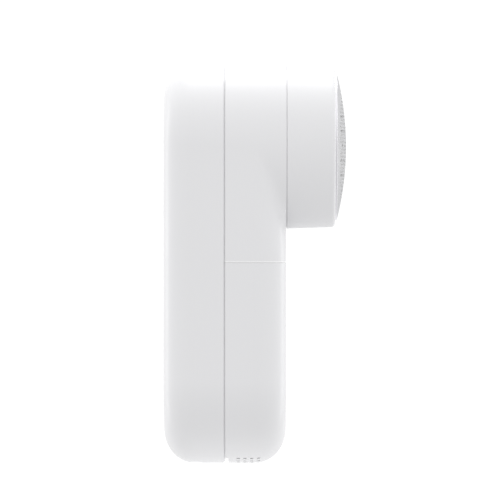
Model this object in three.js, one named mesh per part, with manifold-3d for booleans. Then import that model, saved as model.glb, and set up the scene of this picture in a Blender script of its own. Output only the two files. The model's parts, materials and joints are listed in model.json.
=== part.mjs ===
// A rechargeable fabric shaver: a slim upright body with a round shaving head on its front.
//
// Millimetres, +Z up. The head faces +X. The body is measured by its depth, the distance
// forward from the flat rear face, and the whole assembly is then moved back by half of
// the total depth, so that the origin is the centre of the bottom of the bounding box.

import * as THREE from "three";
import { mergeVertices } from "three/addons/utils/BufferGeometryUtils.js";
import Module from "manifold-3d";

const wasm = await Module();
wasm.setup();

// Driving sizes.
const HEIGHT = 136;
const WIDTH = 56;
const DEPTH = 62.2;
const REAR_DEPTH = 20.5; // front edge of the rear shell
const BODY_DEPTH = 41.7; // front face of the body, behind the shaving head
const COLLAR_END = 58.4; // front face of the ring round the foil
const FOIL_RIM = 59.0; // edge of the foil's dome
const WALL = 1.8;
const GAP = 0.3; // between pieces that touch
const SEAM = 0.4; // shadow line between the two body halves
const EDGE_ROUND = 11; // fillet round the rear face and round the front of the lint bin

// Sizes that follow from them.
const RADIUS = WIDTH / 2;
const HEAD_Z = HEIGHT - RADIUS; // axis of the motor, the cutter and the foil
const FOOT_Z = RADIUS; // centre of the rounded lower end
const FRONT_DEPTH = REAR_DEPTH + SEAM;
const COLLAR_START = BODY_DEPTH + GAP;

// The lint bin is the lower front half of the body.
const BIN_TOP = 68.4;
const BIN_WALL = 1.6;
const CEILING_Z = 93.8; // the floor under the motor is the ceiling of the lint chute
const VENT_ROWS = 7;
const VENT_COLUMNS = 4;
const VENT_PITCH = 2.3;
const VENT_FIRST_DEPTH = 25.4;
const VENT_ROW_ANGLE = THREE.MathUtils.degToRad(6.8);
const VENT_RADIUS = 0.6;
const RAIL_Y = 14;
const RAIL_BOTTOM = 30;
const RAIL_TOP = 62;

// Shaving head.
const FOIL_RADIUS = 25.2;
const FOIL_THICKNESS = 0.4;
const DOME_RISE = DEPTH - FOIL_RIM;
const DOME_RADIUS = (FOIL_RADIUS ** 2 + DOME_RISE ** 2) / (2 * DOME_RISE);
const COLLAR_BORE = 26.2;
const CUTTER_RADIUS = 18.4;
const CUTTER_TRAVEL = 1.2; // how far the sprung cutter can be pressed in
const BLADE_COUNT = 5;
const SHAFT_RADIUS = 1;
const SHAFT_BORE = SHAFT_RADIUS + GAP;

// Bayonet: helical lugs, so the collar moves out as it is turned.
const LUG_COUNT = 3;
const LUG_ANGLE = THREE.MathUtils.degToRad(26);
const LUG_THICKNESS = 1.3;
const LUG_LEAD = 3 / THREE.MathUtils.degToRad(45); // millimetres of lift for each radian
const LUG_DEPTH = 43; // rear of the collar's lugs where they begin
const LUG_PLAY = 0.35; // between the collar's lugs and the spigot's
const SPIGOT_BORE = 22.5;
const SPIGOT_RADIUS = 24.2;
const SPIGOT_END = 49;

// Drive from the motor shaft to the cutter: a coupling with a hexagonal key, and a coil spring.
const SHAFT_END = 50;
const COUPLING_START = 44;
const COUPLING_FLANGE = 1.2;
const COUPLING_END = 53.5;
const KEY_RADIUS = 3;
const SPRING_START = 45.8;
const SPRING_LENGTH = 2.6;
const SPRING_TURNS = 4;
const SPRING_RADIUS = 4.3;
const HUB_START = 49;
const HUB_END = 56.2;
const HUB_RADIUS = 6.2;
const BLADE_INNER = 7.4; // where a blade begins, from the axis

// Motor.
const CAN_RADIUS = 12.2;
const CAN_WALL = 0.9;
const CAN_REAR = 8.6;
const CAN_FRONT = BODY_DEPTH - 2.3;
const MAGNET_RADIUS = 11;
const MAGNET_BORE = 9.3;
const MAGNET_HALF_ANGLE = THREE.MathUtils.degToRad(58);
const CORE_RADIUS = 8.7;
const WINDING_RADIUS = 7.2;

// Battery, board, switch and charging socket in the rear shell.
const BATTERY_RADIUS = 7.1;
const BATTERY_DEPTH = 10;
const BATTERY_BOTTOM = 15;
const BATTERY_TOP = 64;
const BUTTON_Z = 80;
const BUTTON_RADIUS = 7.2;
const LAMP_Z = 68.6;
const BOARD_DEPTH = 8.5;
const BOARD_THICKNESS = 1.6;
const BOARD_HALF_WIDTH = 13.5;
const BOARD_BOTTOM = 66;
const BOARD_TOP = 94;
const SOCKET_DEPTH = 11;

// Screws.
const SCREW_RADIUS = 0.95;
const SCREW_HOLE = SCREW_RADIUS + 0.35;
const BODY_SCREW_OFFSET = 13.5; // sideways and upwards from the head axis
const CHASSIS_SCREW_Y = 17;
const CHASSIS_SCREW_Z = 76;
const MOTOR_SCREW_Y = 8.5;
const BODY_SCREW_LENGTH = 32;
const CHASSIS_SCREW_LENGTH = 11;
const MOTOR_SCREW_LENGTH = 4.4;

// Facets round a full turn.
const COARSE = 10;
const MEDIUM = 20;
const FINE = 40;

// ---------------------------------------------------------------------------
// Solids: three.js geometries turned into closed bodies that can be joined and cut.

function toSolid(geometry) {
  const bare = geometry.clone();
  bare.deleteAttribute("normal");
  bare.deleteAttribute("uv");
  const merged = mergeVertices(bare, 1e-4);
  const corners = merged.index.array;
  const triangles = [];
  for (let i = 0; i < corners.length; i += 3) {
    const [a, b, c] = corners.slice(i, i + 3);
    if (a !== b && b !== c && c !== a) triangles.push(a, b, c);
  }
  const make = (order) =>
    new wasm.Manifold(
      new wasm.Mesh({
        numProp: 3,
        vertProperties: merged.attributes.position.array,
        triVerts: new Uint32Array(order),
      }),
    );
  const solid = make(triangles);
  return solid.volume() < 0 ? make(triangles.reverse()) : solid;
}

const join = (first, ...others) => others.reduce((sum, other) => sum.add(other), first);
const cut = (base, ...tools) => tools.reduce((rest, tool) => rest.subtract(tool), base);

function toMesh(name, solid, material) {
  const { vertProperties, triVerts } = solid.getMesh();
  const geometry = new THREE.BufferGeometry();
  geometry.setAttribute("position", new THREE.BufferAttribute(vertProperties, 3));
  geometry.setIndex(new THREE.BufferAttribute(triVerts, 1));
  const flat = geometry.toNonIndexed();
  flat.computeVertexNormals();
  const mesh = new THREE.Mesh(flat, material);
  mesh.name = name;
  return mesh;
}

// Turns a shape's plane to face +X: its x becomes +Y, its y becomes +Z.
const FACING_FORWARD = new THREE.Matrix4().makeBasis(
  new THREE.Vector3(0, 1, 0),
  new THREE.Vector3(0, 0, 1),
  new THREE.Vector3(1, 0, 0),
);

// A block between two depths, two sideways places and two heights.
function block([depth0, depth1], [y0, y1], [z0, z1]) {
  const geometry = new THREE.BoxGeometry(depth1 - depth0, y1 - y0, z1 - z0);
  return toSolid(geometry.translate((depth0 + depth1) / 2, (y0 + y1) / 2, (z0 + z1) / 2));
}

// A shape drawn looking backwards along X, pushed forward between two depths.
function prism(shape, depth0, depth1, curveSegments = MEDIUM / 4) {
  const geometry = new THREE.ExtrudeGeometry(shape, {
    depth: depth1 - depth0,
    bevelEnabled: false,
    curveSegments,
  });
  return toSolid(geometry.applyMatrix4(FACING_FORWARD).translate(depth0, 0, 0));
}

// A rod along X.
function rod(radius, depth0, depth1, y = 0, z = 0, facets = COARSE) {
  const geometry = new THREE.CylinderGeometry(radius, radius, depth1 - depth0, facets);
  return toSolid(geometry.rotateZ(-Math.PI / 2).translate((depth0 + depth1) / 2, y, z));
}

// A body turned about X: the profile is a closed outline of [radius, depth] points.
function turned(profile, facets = MEDIUM) {
  const points = profile.map(([radius, depth]) => new THREE.Vector2(radius, depth));
  if (points[0].x > 0) points.push(points[0].clone());
  return toSolid(new THREE.LatheGeometry(points, facets).rotateZ(-Math.PI / 2));
}

// Points of a quarter-round edge in a [radius, depth] profile, between two angles.
function roundEdge(centreRadius, centreDepth, size, fromDegrees, toDegrees, steps = 3) {
  return Array.from({ length: steps + 1 }, (_, i) => {
    const angle = THREE.MathUtils.degToRad(fromDegrees + ((toDegrees - fromDegrees) * i) / steps);
    return [centreRadius + size * Math.cos(angle), centreDepth + size * Math.sin(angle)];
  });
}

// A round wire along a smooth curve through [depth, y, z] points.
function wire(points, radius = 0.5, steps = 10) {
  const path = new THREE.CatmullRomCurve3(points.map((p) => new THREE.Vector3(...p)));
  const section = new THREE.Shape().absarc(0, 0, radius, 0, 2 * Math.PI);
  return toSolid(
    new THREE.ExtrudeGeometry(section, { steps, extrudePath: path, curveSegments: 4 }),
  );
}

// The body's outline seen from the front: straight sides and two round ends.
function stadium(inset) {
  const radius = RADIUS - inset;
  return new THREE.Shape()
    .absarc(0, HEAD_Z, radius, 0, Math.PI)
    .absarc(0, FOOT_Z, radius, Math.PI, 2 * Math.PI);
}

// The same outline pushed between two depths, with one end rounded over.
function roundedStadium(inset, depth0, depth1, round, roundedEnd) {
  const geometry = new THREE.ExtrudeGeometry(stadium(inset), {
    depth: depth1 - depth0,
    bevelThickness: round,
    bevelSize: round,
    bevelOffset: -round,
    bevelSegments: 5,
    curveSegments: FINE / 4,
  });
  const first = roundedEnd === "rear" ? depth0 + round : depth0 - round;
  const whole = toSolid(geometry.applyMatrix4(FACING_FORWARD).translate(first, 0, 0));
  return whole.intersect(block([depth0, depth1], [-WIDTH, WIDTH], [-WIDTH, HEIGHT + WIDTH]));
}

// ---------------------------------------------------------------------------
// Body: rear shell, chassis, front housing and lint bin.

const screwPlaces = {
  body: [-1, 1].map((side) => [side * BODY_SCREW_OFFSET, HEAD_Z + BODY_SCREW_OFFSET]),
  chassis: [-1, 1].map((side) => [side * CHASSIS_SCREW_Y, CHASSIS_SCREW_Z]),
  motor: [-1, 1].map((side) => [side * MOTOR_SCREW_Y, HEAD_Z]),
};

function boardPost(y, z) {
  return rod(1.6, WALL - 0.5, BOARD_DEPTH - GAP, y, z);
}

function batteryRib(z) {
  return block([WALL - 0.5, 7], [-9, 9], [z - 0.8, z + 0.8]);
}

function batteryClearance() {
  const geometry = new THREE.CylinderGeometry(
    BATTERY_RADIUS + GAP,
    BATTERY_RADIUS + GAP,
    BATTERY_TOP - BATTERY_BOTTOM,
    MEDIUM,
  );
  const middle = (BATTERY_TOP + BATTERY_BOTTOM) / 2;
  return toSolid(geometry.rotateX(Math.PI / 2).translate(BATTERY_DEPTH, 0, middle));
}

// A slot with round ends through the bottom of the shell, for the charging plug.
function socketSlot(halfWidth, halfThickness, z0, z1) {
  const reach = halfWidth - halfThickness;
  const shape = new THREE.Shape()
    .absarc(reach, 0, halfThickness, -Math.PI / 2, Math.PI / 2)
    .absarc(-reach, 0, halfThickness, Math.PI / 2, (3 * Math.PI) / 2);
  const geometry = new THREE.ExtrudeGeometry(shape, {
    depth: z1 - z0,
    bevelEnabled: false,
    curveSegments: 4,
  });
  return toSolid(geometry.rotateZ(Math.PI / 2).translate(SOCKET_DEPTH, 0, z0));
}

function rearShell() {
  const outside = roundedStadium(0, 0, REAR_DEPTH, EDGE_ROUND, "rear");
  const inside = roundedStadium(WALL, WALL, REAR_DEPTH + 1, EDGE_ROUND - WALL, "rear");
  const bosses = [...screwPlaces.body, ...screwPlaces.chassis].map(([y, z]) =>
    rod(3, WALL - 0.5, REAR_DEPTH - 1.9, y, z, MEDIUM),
  );
  const pilots = [...screwPlaces.body, ...screwPlaces.chassis].map(([y, z]) =>
    rod(SCREW_HOLE, 7, REAR_DEPTH, y, z),
  );
  const posts = [-11, 11].flatMap((y) => [boardPost(y, 69.5), boardPost(y, 91)]);
  const shell = join(cut(outside, inside), ...bosses, ...posts, batteryRib(26), batteryRib(54));
  return cut(
    shell,
    ...pilots,
    batteryClearance(),
    rod(BUTTON_RADIUS + GAP, -1, WALL + 1, 0, BUTTON_Z, MEDIUM),
    rod(1.5, -1, WALL + 1, 0, LAMP_Z),
    socketSlot(4.9, 2, -1, 4),
  );
}

// The plate between the halves carries the motor, closes the lint chute and guides the bin.
function chassis() {
  const plate = prism(stadium(WALL + GAP), REAR_DEPTH - 1.6, REAR_DEPTH, FINE / 4);
  const rails = [-RAIL_Y, RAIL_Y].flatMap((y) => [
    block([REAR_DEPTH - 0.5, REAR_DEPTH + 3.6], [y - 1.2, y + 1.2], [RAIL_BOTTOM, RAIL_TOP]),
    block([REAR_DEPTH + 2.4, REAR_DEPTH + 3.8], [y - 2.5, y + 2.5], [RAIL_BOTTOM, RAIL_TOP]),
  ]);
  const holes = [...screwPlaces.body, ...screwPlaces.chassis].map(([y, z]) =>
    rod(SCREW_HOLE, 0, REAR_DEPTH + 1, y, z),
  );
  const motorHole = rod(CAN_RADIUS + 0.5, 0, REAR_DEPTH + 1, 0, HEAD_Z, FINE);
  return cut(join(plate, ...rails), motorHole, ...holes);
}

// Outside of the front half: the rounded body with the round boss of the head growing out of it.
function frontForm(inset, depth0) {
  const front = BODY_DEPTH - inset;
  return join(
    roundedStadium(inset, depth0, front, EDGE_ROUND - inset, "front"),
    rod(RADIUS - inset, depth0, front, 0, HEAD_Z, FINE),
  );
}

// One bayonet lug, from its straight form: x is its thickness, y its height, z its length.
function lug(innerRadius, outerRadius, start) {
  const geometry = new THREE.BoxGeometry(1, 1, 1, 1, 1, 6).translate(0.5, 0.5, 0.5);
  const place = geometry.attributes.position;
  for (let i = 0; i < place.count; i++) {
    const angle = place.getZ(i) * LUG_ANGLE;
    const radius = innerRadius + place.getY(i) * (outerRadius - innerRadius);
    const depth = start + place.getX(i) * LUG_THICKNESS + angle * LUG_LEAD;
    place.setXYZ(i, depth, radius * Math.cos(angle), radius * Math.sin(angle));
  }
  return geometry;
}

function lugs(innerRadius, outerRadius, start, z = 0) {
  return Array.from({ length: LUG_COUNT }, (_, i) => {
    const turn = (2 * Math.PI * i) / LUG_COUNT;
    return toSolid(lug(innerRadius, outerRadius, start).rotateX(turn).translate(0, 0, z));
  });
}

// The ring on the front wall that the collar's bayonet locks onto, about the head axis.
function spigot() {
  const root = BODY_DEPTH - 0.7;
  const ring = turned(
    [
      [SPIGOT_BORE, root],
      [SPIGOT_RADIUS, root],
      [SPIGOT_RADIUS, SPIGOT_END],
      [SPIGOT_BORE, SPIGOT_END],
    ],
    FINE,
  );
  const reach = COLLAR_BORE - 0.4;
  return join(ring, ...lugs(SPIGOT_RADIUS - 0.7, reach, LUG_DEPTH + LUG_THICKNESS + LUG_PLAY));
}

function frontHousing() {
  const everything = [-WIDTH, WIDTH];
  const upper = block([0, DEPTH], everything, [BIN_TOP + GAP, HEIGHT + 1]);
  const outside = frontForm(0, FRONT_DEPTH).intersect(upper);
  const hollow = frontForm(WALL, FRONT_DEPTH - 1);
  const floor = block([FRONT_DEPTH, BODY_DEPTH - 1], everything, [CEILING_Z, CEILING_Z + 1.6]);
  const tubes = screwPlaces.body.map(([y, z]) =>
    rod(2.6, FRONT_DEPTH, BODY_DEPTH - 1, y, z, MEDIUM),
  );
  const holes = screwPlaces.body.map(([y, z]) => rod(SCREW_HOLE, 0, BODY_DEPTH + 1, y, z));
  const motorHoles = screwPlaces.motor.map(([y, z]) =>
    rod(SCREW_HOLE, 30, BODY_DEPTH + 1, y, z),
  );
  const shell = join(cut(outside, hollow), floor.intersect(outside), ...tubes);
  const lintWindow = block([30, BODY_DEPTH + 1], [-9, 9], [HEAD_Z - 20.2, HEAD_Z - 14.5]);
  const shaftHole = rod(4.3, 30, BODY_DEPTH + 1, 0, HEAD_Z, MEDIUM);
  return cut(shell, ...holes, ...motorHoles, lintWindow, shaftHole);
}

function ventHoles() {
  const holes = [];
  for (let column = 0; column < VENT_COLUMNS; column++) {
    for (let row = 0; row < VENT_ROWS; row++) {
      const hole = new THREE.CylinderGeometry(VENT_RADIUS, VENT_RADIUS, 2 * BIN_WALL + 1, 6);
      hole.rotateX(Math.PI / 2).translate(0, 0, BIN_WALL / 2 - RADIUS);
      hole.rotateX((row - (VENT_ROWS - 1) / 2) * VENT_ROW_ANGLE);
      holes.push(toSolid(hole.translate(VENT_FIRST_DEPTH + column * VENT_PITCH, 0, FOOT_Z)));
    }
  }
  return holes;
}

function lintBin() {
  const lower = block([0, DEPTH], [-WIDTH, WIDTH], [-1, BIN_TOP]);
  const outside = frontForm(0, FRONT_DEPTH).intersect(lower);
  const hollow = roundedStadium(
    BIN_WALL,
    FRONT_DEPTH + BIN_WALL,
    BODY_DEPTH - BIN_WALL,
    EDGE_ROUND - BIN_WALL,
    "front",
  );
  const slots = [-RAIL_Y, RAIL_Y].map((y) =>
    block([REAR_DEPTH, FRONT_DEPTH + BIN_WALL + 1], [y - 1.6, y + 1.6], [RAIL_BOTTOM - 0.4, HEIGHT]),
  );
  const nailNotch = block([REAR_DEPTH, FRONT_DEPTH + 1.1], [-9.7, 9.7], [-1, 1.7]);
  return cut(outside, hollow, ...slots, nailNotch, ...ventHoles());
}

// ---------------------------------------------------------------------------
// Shaving head, about the head axis: collar, foil, retainer and cutter.

function collar() {
  const wall = turned(
    [
      [COLLAR_BORE, COLLAR_START],
      [RADIUS, COLLAR_START],
      ...roundEdge(RADIUS - 1.5, COLLAR_END - 1, 1, 0, 90),
      [FOIL_RADIUS + GAP, COLLAR_END],
      [FOIL_RADIUS + GAP, COLLAR_END - 1.4],
      [COLLAR_BORE, COLLAR_END - 1.4],
    ],
    FINE,
  );
  return join(wall, ...lugs(SPIGOT_RADIUS + 0.4, COLLAR_BORE + 0.6, LUG_DEPTH));
}

// Points of a dome from its edge to the axis, at a distance below the foil's outer face.
function domeArc(edgeRadius, below, steps = 4) {
  const radius = DOME_RADIUS - below;
  return Array.from({ length: steps + 1 }, (_, i) => {
    const r = edgeRadius * (1 - i / steps);
    return [r, DEPTH - DOME_RADIUS + Math.sqrt(radius ** 2 - r ** 2)];
  });
}

function cutterFoil() {
  const inner = FOIL_RADIUS - FOIL_THICKNESS;
  const flange = COLLAR_END - 1.4 - GAP;
  const outline = [
    ...domeArc(FOIL_RADIUS, 0).reverse(),
    [FOIL_RADIUS, flange],
    [FOIL_RADIUS + 0.7, flange],
    [FOIL_RADIUS + 0.7, flange - 0.5],
    [inner, flange - 0.5],
    ...domeArc(inner, FOIL_THICKNESS),
  ];
  const holes = [];
  for (const [radius, count] of [[5, 6], [10, 10], [15, 14]]) {
    for (let i = 0; i < count; i++) {
      const angle = (2 * Math.PI * i) / count;
      holes.push(rod(1, 50, DEPTH + 1, radius * Math.cos(angle), radius * Math.sin(angle), 6));
    }
  }
  return cut(turned(outline, FINE), ...holes);
}

// A ring inside the foil's edge, with a shoulder that stands behind the foil's flange.
function foilRetainer() {
  const bore = 23.2;
  const inFoil = FOIL_RADIUS - FOIL_THICKNESS - GAP;
  const shoulder = COLLAR_BORE - 0.4;
  const [start, step, end] = [53.5, 55.9, 58];
  return turned(
    [
      [bore, start],
      [shoulder, start],
      [shoulder, step],
      [inFoil, step],
      [inFoil, end],
      [bore, end],
    ],
    FINE,
  );
}

function driveCoupling() {
  const flange = rod(5, COUPLING_START, COUPLING_START + COUPLING_FLANGE, 0, 0, MEDIUM);
  const key = rod(KEY_RADIUS, COUPLING_START + 1, COUPLING_END, 0, 0, 6);
  return cut(join(flange, key), rod(SHAFT_BORE, COUPLING_START - 1, SHAFT_END + 0.4));
}

// Coil spring that holds the cutter up to the foil.
class SpringCurve extends THREE.Curve {
  getPoint(t, target = new THREE.Vector3()) {
    const angle = t * SPRING_TURNS * 2 * Math.PI;
    const [y, z] = [SPRING_RADIUS * Math.cos(angle), SPRING_RADIUS * Math.sin(angle)];
    return target.set(SPRING_START + SPRING_LENGTH * t, y, z);
  }
}

function floatSpring() {
  const section = new THREE.Shape().absarc(0, 0, 0.22, 0, 2 * Math.PI);
  const steps = 8 * SPRING_TURNS;
  const options = { steps, extrudePath: new SpringCurve(), curveSegments: 3 };
  return toSolid(new THREE.ExtrudeGeometry(section, options));
}

function cutterHub() {
  const sleeve = rod(HUB_RADIUS, HUB_START, HUB_END, 0, 0, MEDIUM);
  const armLength = CUTTER_RADIUS - 4;
  const arms = Array.from({ length: BLADE_COUNT }, (_, i) => {
    const arm = new THREE.BoxGeometry(1.4, armLength, 8);
    arm.translate(HUB_START + 3.3, CUTTER_RADIUS - armLength / 2, 0);
    return toSolid(arm.rotateX((2 * Math.PI * i) / BLADE_COUNT));
  });
  const keywayEnd = COUPLING_END + CUTTER_TRAVEL + GAP;
  const keyway = rod(KEY_RADIUS + 0.4, HUB_START - 1, keywayEnd, 0, 0, 6);
  return cut(join(sleeve, ...arms), keyway);
}

// A bent steel strip: a foot on the hub's arm and an edge that follows the foil's dome.
function cutterBlade(index) {
  const strip = new THREE.Shape([
    new THREE.Vector2(-3, 53.3),
    new THREE.Vector2(3, 53.3),
    new THREE.Vector2(5.6, 63),
    new THREE.Vector2(5.2, 63),
    new THREE.Vector2(2.7, 53.7),
    new THREE.Vector2(-3, 53.7),
  ]);
  const geometry = new THREE.ExtrudeGeometry(strip, {
    depth: CUTTER_RADIUS - BLADE_INNER,
    bevelEnabled: false,
  });
  // The strip's own x runs sideways, its y forward, and it is pushed outwards from the hub.
  geometry.applyMatrix4(
    new THREE.Matrix4().makeBasis(
      new THREE.Vector3(0, 0, 1),
      new THREE.Vector3(1, 0, 0),
      new THREE.Vector3(0, 1, 0),
    ),
  );
  geometry.translate(0, BLADE_INNER, 0).rotateX((2 * Math.PI * index) / BLADE_COUNT);
  const below = FOIL_THICKNESS + 0.35;
  const space = turned([...domeArc(CUTTER_RADIUS + 2, below), [0, 50], [CUTTER_RADIUS + 2, 50]]);
  return toSolid(geometry).intersect(space);
}

// ---------------------------------------------------------------------------
// Motor, about the head axis.

function motorCan() {
  const inner = CAN_RADIUS - CAN_WALL;
  const can = turned(
    [
      [inner, CAN_REAR],
      [CAN_RADIUS, CAN_REAR],
      [CAN_RADIUS, CAN_FRONT],
      [3.4, CAN_FRONT],
      [3.4, CAN_FRONT - 1.2],
      [inner, CAN_FRONT - 1.2],
    ],
    FINE,
  );
  return cut(can, ...[-1, 1].map((side) => rod(SCREW_HOLE, 30, 45, side * MOTOR_SCREW_Y)));
}

function motorEndCap() {
  const face = CAN_REAR - 1.8;
  const plug = CAN_RADIUS - CAN_WALL - GAP;
  const cap = turned([
    [2.9, face - 1.2],
    [4.2, face - 1.2],
    [4.2, face],
    [CAN_RADIUS, face],
    [CAN_RADIUS, face + 1.5],
    [plug, face + 1.5],
    [plug, face + 4.7],
    [plug - 1.4, face + 4.7],
    [plug - 1.4, face + 1.7],
    [2.9, face + 1.7],
  ]);
  return cut(cap, ...[-7.6, 7.6].map((y) => block([0, 20], [y - 0.7, y + 0.7], [-1.8, 1.8])));
}

// A solder tag outside the end cap, in one piece with the brush arm inside it.
function brushTerminal(side) {
  const sideways = (from, to) => (side > 0 ? [from, to] : [-to, -from]);
  return join(
    block([4.4, 12.3], sideways(7.35, 7.85), [-1.4, 1.4]),
    block([11.8, 12.3], sideways(3.2, 7.6), [-1.4, 1.4]),
  );
}

function magnet(side) {
  const middle = side > 0 ? 0 : Math.PI;
  const [from, to] = [middle - MAGNET_HALF_ANGLE, middle + MAGNET_HALF_ANGLE];
  const shape = new THREE.Shape()
    .absarc(0, 0, MAGNET_RADIUS, from, to)
    .absarc(0, 0, MAGNET_BORE, to, from, true);
  return prism(shape, 14, 35, 4);
}

function armature() {
  const plates = rod(CORE_RADIUS, 17, 32, 0, 0, MEDIUM);
  const windings = rod(WINDING_RADIUS, 15, 34, 0, 0, MEDIUM);
  const slots = Array.from({ length: 3 }, (_, i) => {
    const slot = new THREE.BoxGeometry(30, 6, 2.4).translate(25, 6.6, 0);
    return toSolid(slot.rotateX((2 * Math.PI * i) / 3));
  });
  return cut(join(plates, windings), ...slots, rod(SHAFT_BORE, 10, 40));
}

const tube = (outer, inner, depth0, depth1, facets = MEDIUM) =>
  cut(rod(outer, depth0, depth1, 0, 0, facets), rod(inner, depth0 - 1, depth1 + 1, 0, 0, COARSE));

// ---------------------------------------------------------------------------
// Power, switch and charging.

function powerButton() {
  const dish = [[0, 0.6], [2.5, 0.52], [5, 0.3], [BUTTON_RADIUS - 0.4, 0]];
  const skirt = WALL + GAP;
  return turned([
    ...dish,
    [BUTTON_RADIUS, 0.4],
    [BUTTON_RADIUS, skirt],
    [8.6, skirt],
    [8.6, skirt + 0.9],
    [2, skirt + 0.9],
    [2, 4.2],
    [0, 4.2],
  ]);
}

function tactSwitch() {
  const body = block([5.4, BOARD_DEPTH - GAP], [-3, 3], [BUTTON_Z - 3, BUTTON_Z + 3]);
  return cut(body, rod(2, 5, 7, 0, BUTTON_Z));
}

function controlBoard() {
  const front = BOARD_DEPTH + BOARD_THICKNESS;
  return block(
    [BOARD_DEPTH, front],
    [-BOARD_HALF_WIDTH, BOARD_HALF_WIDTH],
    [BOARD_BOTTOM, BOARD_TOP],
  );
}

function batteryCell() {
  const outline = [
    [0, BATTERY_BOTTOM],
    [BATTERY_RADIUS - 0.6, BATTERY_BOTTOM],
    [BATTERY_RADIUS, BATTERY_BOTTOM + 0.6],
    [BATTERY_RADIUS, BATTERY_TOP - 3.4],
    [BATTERY_RADIUS - 0.5, BATTERY_TOP - 2.9],
    [BATTERY_RADIUS, BATTERY_TOP - 2.4],
    [BATTERY_RADIUS, BATTERY_TOP - 1.2],
    [BATTERY_RADIUS - 0.5, BATTERY_TOP - 0.8],
    [2.8, BATTERY_TOP - 0.8],
    [2.8, BATTERY_TOP],
    [0, BATTERY_TOP],
  ].map(([radius, z]) => new THREE.Vector2(radius, z));
  const geometry = new THREE.LatheGeometry(outline, MEDIUM).rotateX(Math.PI / 2);
  return toSolid(geometry.translate(BATTERY_DEPTH, 0, 0));
}

const batteryTab = (z) => block([6.5, 16.5], [-2.6, 2.6], [z, z + 0.4]);

function usbSocket() {
  const shell = socketSlot(4.5, 1.65, 1, 8.4);
  const tongue = block([SOCKET_DEPTH - 0.35, SOCKET_DEPTH + 0.35], [-3.3, 3.3], [1.8, 8.2]);
  return join(cut(shell, socketSlot(4.2, 1.35, 0, 7.4)), tongue);
}

// A pan-head screw with a cross recess, its head's underside at the given depth.
function screw(depth, length, [y, z]) {
  const head = turned([[0, 0], [2, 0], [2, 0.7], [1.5, 1.3], [0, 1.3]], COARSE);
  const shank = rod(SCREW_RADIUS, -length, 0.3);
  const cross = [
    block([0.6, 2], [-1.1, 1.1], [-0.25, 0.25]),
    block([0.6, 2], [-0.25, 0.25], [-1.1, 1.1]),
  ];
  return { solid: cut(join(head, shank), ...cross), place: [depth, y, z] };
}

// ---------------------------------------------------------------------------
// Materials.

const material = (color, roughness, metalness = 0) =>
  new THREE.MeshStandardMaterial({ color, roughness, metalness });

const finishes = {
  shell: material(0xf0f0f3, 0.4),
  inner: material(0xd9dadd, 0.6),
  foil: material(0xd2d2d2, 0.32, 0.9),
  blade: material(0xb9bcc0, 0.25, 1),
  steel: material(0xa9acb0, 0.35, 1),
  brass: material(0xc7a24a, 0.35, 1),
  magnet: material(0x3a3a3c, 0.7),
  copper: material(0xb06a3a, 0.4, 1),
  board: material(0x2f6b45, 0.5),
  black: material(0x232427, 0.5),
  battery: material(0x4f8ec9, 0.4),
  lamp: material(0xe9f1ff, 0.2),
  red: material(0xb3262a, 0.5),
};

// ---------------------------------------------------------------------------
// Assembly.

const assembly = new THREE.Group();
assembly.position.x = -DEPTH / 2;
const head = new THREE.Group();
head.position.z = HEAD_Z;
assembly.add(head);

function add(group, name, solid, finish) {
  group.add(toMesh(name, solid, finishes[finish]));
}

// The front housing carries the spigot that the collar turns on.
function housingWithSpigot() {
  const raised = toSolid(toMesh("spigot", spigot()).geometry.translate(0, 0, HEAD_Z));
  return join(frontHousing(), raised);
}

add(assembly, "rear_shell", rearShell(), "shell");
add(assembly, "chassis", chassis(), "inner");
add(assembly, "front_housing", housingWithSpigot(), "shell");
add(assembly, "lint_bin", lintBin(), "shell");

add(head, "head_collar", collar(), "shell");
add(head, "cutter_foil", cutterFoil(), "foil");
add(head, "foil_retainer", foilRetainer(), "inner");
add(head, "drive_coupling", driveCoupling(), "inner");
add(head, "float_spring", floatSpring(), "steel");
add(head, "cutter_hub", cutterHub(), "inner");
for (let i = 0; i < BLADE_COUNT; i++) {
  add(head, `cutter_blade_${i + 1}`, cutterBlade(i), "blade");
}

add(head, "motor_can", motorCan(), "steel");
add(head, "motor_end_cap", motorEndCap(), "black");
add(head, "motor_shaft", rod(SHAFT_RADIUS, 5.3, SHAFT_END), "steel");
add(head, "bush_front", tube(3.1, SHAFT_BORE, CAN_FRONT - 2, CAN_FRONT + 1.2), "brass");
add(head, "bush_rear", tube(2.6, SHAFT_BORE, 5.9, 8.3), "brass");
add(head, "armature", armature(), "copper");
add(head, "commutator", tube(2.7, SHAFT_BORE, 10.5, 14), "brass");
for (const [name, side] of [["left", -1], ["right", 1]]) {
  add(head, `magnet_${name}`, magnet(side), "magnet");
  add(head, `brush_terminal_${name}`, brushTerminal(side), "brass");
}

add(assembly, "power_button", powerButton(), "shell");
assembly.getObjectByName("power_button").position.z = BUTTON_Z;
add(assembly, "switch_plunger", rod(1.7, 4.5, 5.9, 0, BUTTON_Z), "black");
add(assembly, "tact_switch", tactSwitch(), "black");
add(assembly, "control_board", controlBoard(), "board");
add(assembly, "charge_chip", block([10.4, 11.8], [-2.6, 2.6], [84, 89]), "black");
add(assembly, "inductor", rod(3, 10.4, 13.4, -7, 84, MEDIUM), "black");
add(assembly, "status_led", block([7, BOARD_DEPTH - GAP], [-1.4, 1.4], [67.4, 69.8]), "lamp");
add(assembly, "light_pipe", join(rod(1.2, 0, 6.7, 0, LAMP_Z), rod(1.8, 2.1, 6.7, 0, LAMP_Z)), "lamp");
add(assembly, "battery_cell", batteryCell(), "battery");
add(assembly, "battery_tab_top", batteryTab(BATTERY_TOP + GAP), "steel");
add(assembly, "battery_tab_bottom", batteryTab(BATTERY_BOTTOM - GAP - 0.4), "steel");
add(assembly, "usb_board", block([12.95, 14.15], [-8, 8], [3.6, 13.6]), "board");
add(assembly, "usb_socket", usbSocket(), "steel");

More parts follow.
